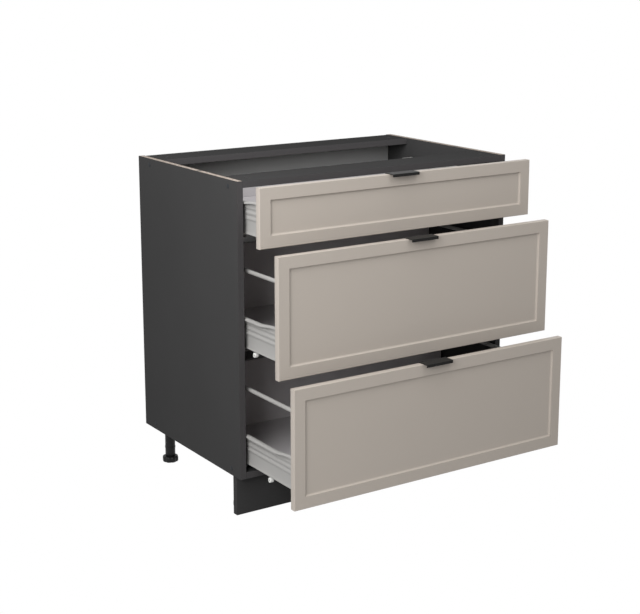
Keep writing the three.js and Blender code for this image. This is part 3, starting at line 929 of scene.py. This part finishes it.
print("driving in screws, caps, plugs and cams")
connectors = dict(
    fromFront=(42 * mm, 440 * mm),
    belowTop=15.5 * mm,
    aboveFloor=17.5 * mm,
)
heights = (carcassTop - connectors["belowTop"], carcassFloor + connectors["aboveFloor"])
places = []
for turn in hands.values():
    for back in connectors["fromFront"]:
        for z in heights:
            places.append(((-turn * sideOutside, carcassFront + back, z), (-turn, 0, 0)))
fasten("connectorCaps", "cabinet", places, capHead, capFinish)

dowels = dict(fromFront=192 * mm)  # thin black discs laid over the holes in the sides' top edges, painted shade standing in for the dark holes
middle = (sideInside + sideOutside) / 2
y = carcassFront + dowels["fromFront"]
places = [((turn * middle, y, carcassTop), (0, 0, 1)) for turn in hands.values()]
# black plastic discs paint the shade inside the dowel holes
fasten("dowelPlugs", "cabinet", places, holeShadeDisc, plasticFinish, seed=9)

cams = dict(fromInside=34 * mm, fromRailFront=41.5 * mm, belowTop=12.4 * mm)
places = []
for rail in ("top_rail_front", "top_rail_rear"):
    low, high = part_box(rail)
    for turn in (-1, 1):
        x = turn * (sideInside - cams["fromInside"])
        places.append(((x, low.y + cams["fromRailFront"], high.z - cams["belowTop"]), (0, 0, 1)))
fasten("camConnectors", "cabinet", places, camHead, zincFinish, seed=3)

runnerScrews = dict(shares=(0.1, 0.42, 0.76, 0.93), belowTop=10 * mm, fromInside=1.5 * mm)
places = []
for level in levels:
    for side, turn in hands.items():
        low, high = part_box(f"runner_{level}_{side}")
        x = -turn * (sideInside - runnerScrews["fromInside"])
        for share in runnerScrews["shares"]:
            y = low.y + share * (high.y - low.y)
            places.append(((x, y, high.z - runnerScrews["belowTop"]), (turn, 0, 0)))
fasten("runnerScrews", "cabinet", places, panHead, zincFinish, seed=5)

tabScrews = dict(heights=(32 * mm, 52 * mm), inwards=11 * mm)
handleScrews = dict(apart=48 * mm, belowTop=15 * mm, sunk=0.05 * mm)
for level in levels:
    places = []
    for side, turn in hands.items():
        low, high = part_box(f"drawer_side_{level}_{side}")
        wall = max(abs(low.x), abs(high.x)) - steelSide["reach"][1]
        under = high.z - steelSide["height"] - steelSide["rise"][0]
        x = -turn * (wall - tabScrews["inwards"])
        for height in tabScrews["heights"]:
            places.append(((x, low.y + steelSide["sheet"], under + height), (0, 1, 0)))
            places.append(((x, high.y, under + height), (0, 1, 0)))
    body = f"drawer_{level}"
    fasten(f"sideScrews_{level}", body, places, panHead, zincFinish, seed=11)
    low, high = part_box(f"handle_{level}")
    y = high.y - handleScrews["sunk"]
    z = high.z - handleScrews["belowTop"]
    places = [((turn * handleScrews["apart"] / 2, y, z), (0, 1, 0)) for turn in (-1, 1)]
    fasten(f"handleScrews_{level}", body, places, flatHead, zincFinish, seed=2)


galleryRail = {
    "Radius": 5 * mm,
    "Socket Radius": 8 * mm,
    "Socket Length": 9 * mm,
    "Socket Taper": 1 * mm,
    "Sides": 40,
}


# a rail swept along a straight curve, with a tapered socket at each end
def railTree(look):
    tree, given, result = newTree("galleryRail", {"Length": 1.0, **look})
    link = tree.links.new
    line = tree.nodes.new("GeometryNodeCurvePrimitiveLine")
    ends = tree.nodes.new("ShaderNodeCombineXYZ")
    circle = tree.nodes.new("GeometryNodeCurvePrimitiveCircle")
    sweep = tree.nodes.new("GeometryNodeCurveToMesh")
    sweep.inputs["Fill Caps"].default_value = True
    gather = tree.nodes.new("GeometryNodeJoinGeometry")
    link(given["Length"], ends.inputs["Y"])
    link(ends.outputs["Vector"], line.inputs["End"])
    link(given["Sides"], circle.inputs["Resolution"])
    link(given["Radius"], circle.inputs["Radius"])
    link(line.outputs["Curve"], sweep.inputs["Curve"])
    link(circle.outputs["Curve"], sweep.inputs["Profile Curve"])
    link(sweep.outputs["Mesh"], gather.inputs["Geometry"])
    for atEnd in (False, True):
        cone = tree.nodes.new("GeometryNodeMeshCone")
        narrow = arithmetic(tree, "SUBTRACT", given["Socket Radius"], given["Socket Taper"])
        link(given["Socket Radius"], cone.inputs["Radius Bottom"])
        link(narrow, cone.inputs["Radius Top"])
        link(given["Socket Length"], cone.inputs["Depth"])
        link(given["Sides"], cone.inputs["Vertices"])
        place = tree.nodes.new("GeometryNodeTransform")
        place.inputs["Rotation"].default_value = (math.radians(90 if atEnd else -90), 0, 0)
        if atEnd:
            link(ends.outputs["Vector"], place.inputs["Translation"])
        link(cone.outputs["Mesh"], place.inputs["Geometry"])
        link(place.outputs["Geometry"], gather.inputs["Geometry"])
    endTree(tree, given, result, gather.outputs["Geometry"])
    return tree


print("setting in the gallery rails")
rails = railTree(galleryRail)
for level in deepLevels:
    for side in hands:
        node = f"gallery_rail_{level}_{side}"
        name = f"rail_{level}_{side}"
        low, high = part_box(node)
        values = {"Length": high.y - low.y, "Finish": steelFinish}
        mesh = grown(name, rails, bpy.data.meshes.new("railStart"), values)
        centre = (low + high) / 2
        moved(mesh, Matrix.Translation((centre.x, low.y, centre.z)))
        standIn(name, mesh, steelFinish, f"drawer_{level}", [node])


leg = dict(
    stem=13.2 * mm,
    bore=10.6 * mm,
    flange=30 * mm,
    flangeThickness=5 * mm,
    ring=(22 * mm, 5 * mm, 0.7 * mm),  # height above the stem's end, its own height, how far it stands out
    ringSlope=0.6 * mm,
    trumpet=((0, 14 * mm), (1.5 * mm, 9 * mm), (4 * mm, 3 * mm), (9 * mm, 0)),  # outwards, below the flange
    stemArris=(0.8 * mm, 1 * mm),
    flangeArris=(0.6 * mm, 0.3 * mm),  # under and above
    screwCircle=25.4 * mm,
    screwTurns=(45, 315, 3),  # degrees of the first and last screw, and the steps between them
    segments=64,
)
foot = dict(
    radius=21 * mm,
    height=15 * mm,
    edge=2.6 * mm,
    edgeArc=(-80, 0, 4),  # degrees from and to, and steps
    shoulder=4 * mm,
    shoulderArc=(6, 84, 5),
    shoulderFoot=4.4 * mm,  # how far below the top the upright rim ends
    rod=9 * mm,
    rodArris=1 * mm,
    rodFoot=0.15 * mm,  # height of the cut in the corner where the rod starts
    scallops=8,
    scallopDepth=1.6 * mm,
    scallopPower=2.2,  # a higher one makes narrower dips
    scallopsFrom=11 * mm,
    segments=128,
)


def legMesh(name, look, low, high):
    stem, flange = look["stem"], look["flange"]
    under = high - look["flangeThickness"]
    ringLow, ringHeight, ringOut = look["ring"]
    ringTop = low + ringLow + ringHeight
    slope = look["ringSlope"]
    lower, upper = look["flangeArris"]
    profile = [(look["bore"], low), (stem - look["stemArris"][0], low), (stem, low + look["stemArris"][1])]
    profile += [(stem, low + ringLow), (stem + ringOut, low + ringLow + slope)]
    profile += [(stem + ringOut, ringTop - slope), (stem, ringTop)]
    profile += [(stem + out, under - down) for out, down in look["trumpet"]]
    profile += [(flange - lower, under), (flange, under + lower)]
    profile += [(flange, high - upper), (flange - upper, high), (look["bore"], high)]
    return turnedMesh(name, profile, look["segments"], closed=True, sharpFrom=curvedSharpAngle)


# pulls the rim of a turned disc in at even places round its axis
def scallopTree(look):
    inputs = {
        "Scallops": look["scallops"],
        "Depth": look["scallopDepth"],
        "Power": look["scallopPower"],
        "From Radius": look["scallopsFrom"],
        "Radius": look["radius"],
    }
    tree, given, result = newTree("scallopedGrip", inputs)
    link = tree.links.new
    value = partial(arithmetic, tree)
    position = tree.nodes.new("GeometryNodeInputPosition")
    split = tree.nodes.new("ShaderNodeSeparateXYZ")
    link(position.outputs["Position"], split.inputs["Vector"])
    x, y = split.outputs["X"], split.outputs["Y"]
    angle = value("ARCTAN2", y, x)
    radius = value("SQRT", value("ADD", value("MULTIPLY", x, x), value("MULTIPLY", y, y)))
    wave = value("COSINE", value("MULTIPLY", angle, given["Scallops"]))
    dip = value("POWER", value("MULTIPLY", value("SUBTRACT", 1.0, wave), 0.5), given["Power"])
    reach = value("SUBTRACT", given["Radius"], given["From Radius"])
    share = value("DIVIDE", value("SUBTRACT", radius, given["From Radius"]), reach)
    depth = value("MULTIPLY", dip, given["Depth"])
    inward = value("MULTIPLY", depth, value("MAXIMUM", share, 0.0))
    scale = value("SUBTRACT", 1.0, value("DIVIDE", inward, value("MAXIMUM", radius, 1e-4)))
    join = tree.nodes.new("ShaderNodeCombineXYZ")
    link(value("MULTIPLY", x, scale), join.inputs["X"])
    link(value("MULTIPLY", y, scale), join.inputs["Y"])
    link(split.outputs["Z"], join.inputs["Z"])
    shift = tree.nodes.new("GeometryNodeSetPosition")
    link(given["Geometry"], shift.inputs["Geometry"])
    link(join.outputs["Vector"], shift.inputs["Position"])
    endTree(tree, given, result, shift.outputs["Geometry"])
    return tree


def footMesh(name, look, tree, top):
    radius, height, rod = look["radius"], look["height"], look["rod"]
    edge, shoulder, arris = look["edge"], look["shoulder"], look["rodArris"]
    profile = [(0, 0), (radius - edge, 0)]
    profile += arcPoints((radius - edge, edge), edge, *look["edgeArc"])
    profile.append((radius, height - look["shoulderFoot"]))
    profile += arcPoints((radius - shoulder, height - shoulder), shoulder, *look["shoulderArc"])
    profile += [(rod + arris, height), (rod, height + look["rodFoot"])]
    profile += [(rod, top - arris), (rod - arris, top), (0, top)]
    disc = turnedMesh(name + "Disc", profile, look["segments"], sharpFrom=curvedSharpAngle)
    return grown(name, tree, disc, {"Finish": plasticFinish})


print("standing the legs")
scallops = scallopTree(foot)
legScrews = []
for row in ("front", "rear"):
    for side in hands:
        legNode = f"leg_{row}_{side}"
        low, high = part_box(legNode)
        centre = (low + high) / 2
        axis = Matrix.Translation((centre.x, centre.y, 0))
        name = f"legBody_{row}_{side}"
        mesh = moved(legMesh(name, leg, low.z, high.z), axis)
        standIn(name, mesh, plasticFinish, "cabinet", [legNode])

        footNode = f"foot_{row}_{side}"
        name = f"screwFoot_{row}_{side}"
        mesh = moved(footMesh(name, foot, scallops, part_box(footNode)[1].z), axis)
        standIn(name, mesh, plasticFinish, footNode, [footNode])

        flangeUnder = high.z - leg["flangeThickness"]
        for x, y in arcPoints(centre, leg["screwCircle"], *leg["screwTurns"]):
            legScrews.append(((x, y, flangeUnder), (0, 0, -1)))
fasten("legScrews", "cabinet", legScrews, panHead, zincFinish, seed=9)

# clips that snap round the front legs and hold the plinth
clip = dict(
    grip=13.35 * mm,
    wall=2.4 * mm,
    opening=38,  # degrees to either side of the clip's mouth
    low=48 * mm,
    high=66 * mm,
    armHalf=5 * mm,
    armInset=3 * mm,  # from the ring's lower and upper faces
    armSunk=(0.4 * mm, 1.2 * mm),  # into the plate and into the ring
    plateHalf=22 * mm,
    plateThickness=2.6 * mm,
    plateOver=4 * mm,  # past the ring's lower and upper faces
    plateGap=0.05 * mm,
    arris=0.4 * mm,
    ringSteps=44,
)


def clipMesh(name, look, centre, plinthBack):
    outer = look["grip"] + look["wall"]
    start, end = 90 + look["opening"], 450 - look["opening"]
    outline = arcPoints((0, 0), outer, start, end, look["ringSteps"])
    outline += arcPoints((0, 0), look["grip"], end, start, look["ringSteps"])
    ring = slabMesh(name + "Ring", outline, look["low"], look["high"])
    moved(ring, Matrix.Translation((centre.x, centre.y, 0)))
    half, inset, over = look["armHalf"], look["armInset"], look["plateOver"]
    intoPlate, intoRing = look["armSunk"]
    plateFront = plinthBack + look["plateThickness"]
    arm = boxMesh(
        name + "Arm",
        (centre.x - half, plateFront - intoPlate, look["low"] + inset),
        (centre.x + half, centre.y - outer + intoRing, look["high"] - inset),
    )
    plate = boxMesh(
        name + "Plate",
        (centre.x - look["plateHalf"], plinthBack + look["plateGap"], look["low"] - over),
        (centre.x + look["plateHalf"], plateFront, look["high"] + over),
    )
    return joined(name, [ring, arm, plate])


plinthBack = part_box("plinth")[1].y
for side in hands:
    low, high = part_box(f"leg_front_{side}")
    mesh = clipMesh(f"plinthClip_{side}", clip, (low + high) / 2, plinthBack)
    piece = standIn(f"plinthClip_{side}", mesh, plasticFinish, "cabinet")
    softenEdges(piece, clip["arris"], segments=1, angle=40)

print("lighting the studio")
studio = dict(
    floorSize=60.0,
    floorColour=0.4,
    floorRoughness=0.9,
    ambient=0.30,
    aim=(0, -0.1, 0.45),
    lamps=[
        dict(name="low", place=(-2.680, -1.840, 1.613), size=1.6, power=58.0),
        dict(name="left", place=(-1.298, -0.448, 1.794), size=1.0, power=18.2),
        dict(name="overhead", place=(0.0, -1.039, 2.216), size=1.2, power=13.2),
        dict(name="right", place=(1.054, -2.996, 1.887), size=1.6, power=7.1),
    ],
)


# 1 for what the camera, a reflection or clear glass looks at
def seenDirectly(tree):
    path = tree.nodes.new("ShaderNodeLightPath")
    seen = arithmetic(tree, "MAXIMUM", path.outputs["Is Camera Ray"], path.outputs["Is Glossy Ray"])
    return arithmetic(tree, "MAXIMUM", seen, path.outputs["Is Transmission Ray"])


world = bpy.data.worlds.new("studioWorld")
scene.world = world
world.use_nodes = True
skyTree = world.node_tree
sky = skyTree.nodes["Background"]
sky.inputs["Color"].default_value = (1, 1, 1, 1)
strength = mapped(skyTree, seenDirectly(skyTree), studio["ambient"], 1.0)
skyTree.links.new(strength, sky.inputs["Strength"])

half = studio["floorSize"] / 2
floorMesh = bpy.data.meshes.new("studioFloor")
corners = [(-half, -half, 0), (half, -half, 0), (half, half, 0), (-half, half, 0)]
floorMesh.from_pydata(corners, [], [(0, 1, 2, 3)])
floor = addObject("studioFloor", floorMesh)
floorFinish, tree, shader = newFinish("paleFloor", specular=0.0)
shader.inputs["Base Color"].default_value = (*[studio["floorColour"]] * 3, 1)
shader.inputs["Roughness"].default_value = studio["floorRoughness"]
glow = tree.nodes.new("ShaderNodeEmission")
glow.inputs["Strength"].default_value = 1.0
blend = tree.nodes.new("ShaderNodeMixShader")
tree.links.new(seenDirectly(tree), blend.inputs["Fac"])
tree.links.new(shader.outputs["BSDF"], blend.inputs[1])
tree.links.new(glow.outputs["Emission"], blend.inputs[2])
tree.links.new(blend.outputs["Shader"], tree.nodes["Material Output"].inputs["Surface"])
floorMesh.materials.append(floorFinish)

for lamp in studio["lamps"]:
    data = bpy.data.lights.new(lamp["name"], "AREA")
    data.shape = "SQUARE"
    data.size = lamp["size"]
    data.energy = lamp["power"]
    light = bpy.data.objects.new(lamp["name"], data)
    scene.collection.objects.link(light)
    light.location = lamp["place"]
    light.visible_camera = False
    light.rotation_mode = "QUATERNION"
    beam = Vector(studio["aim"]) - Vector(lamp["place"])
    light.rotation_quaternion = beam.to_track_quat("-Z", "Y")

print("setting up the camera")
camera = dict(
    place=(-1.98190, -2.85880, 1.32943),
    heading=33.4865,  # degrees from +Y towards +X
    tilt=-12.4596,
    sensor=36,
    lens=78.913,
    shift=-0.07,
    clip=(0.05, 100),
)
lensData = bpy.data.cameras.new("photoCamera")
lensData.sensor_width = camera["sensor"]
lensData.lens = camera["lens"]
lensData.shift_y = camera["shift"]
lensData.clip_start, lensData.clip_end = camera["clip"]
viewer = bpy.data.objects.new("photoCamera", lensData)
scene.collection.objects.link(viewer)
heading, tilt = math.radians(camera["heading"]), math.radians(camera["tilt"])
ahead = Vector((math.sin(heading) * math.cos(tilt), math.cos(heading) * math.cos(tilt), math.sin(tilt)))
viewer.location = camera["place"]
viewer.rotation_mode = "QUATERNION"
viewer.rotation_quaternion = ahead.to_track_quat("-Z", "Y")
scene.camera = viewer
scene.view_settings.view_transform = "Standard"
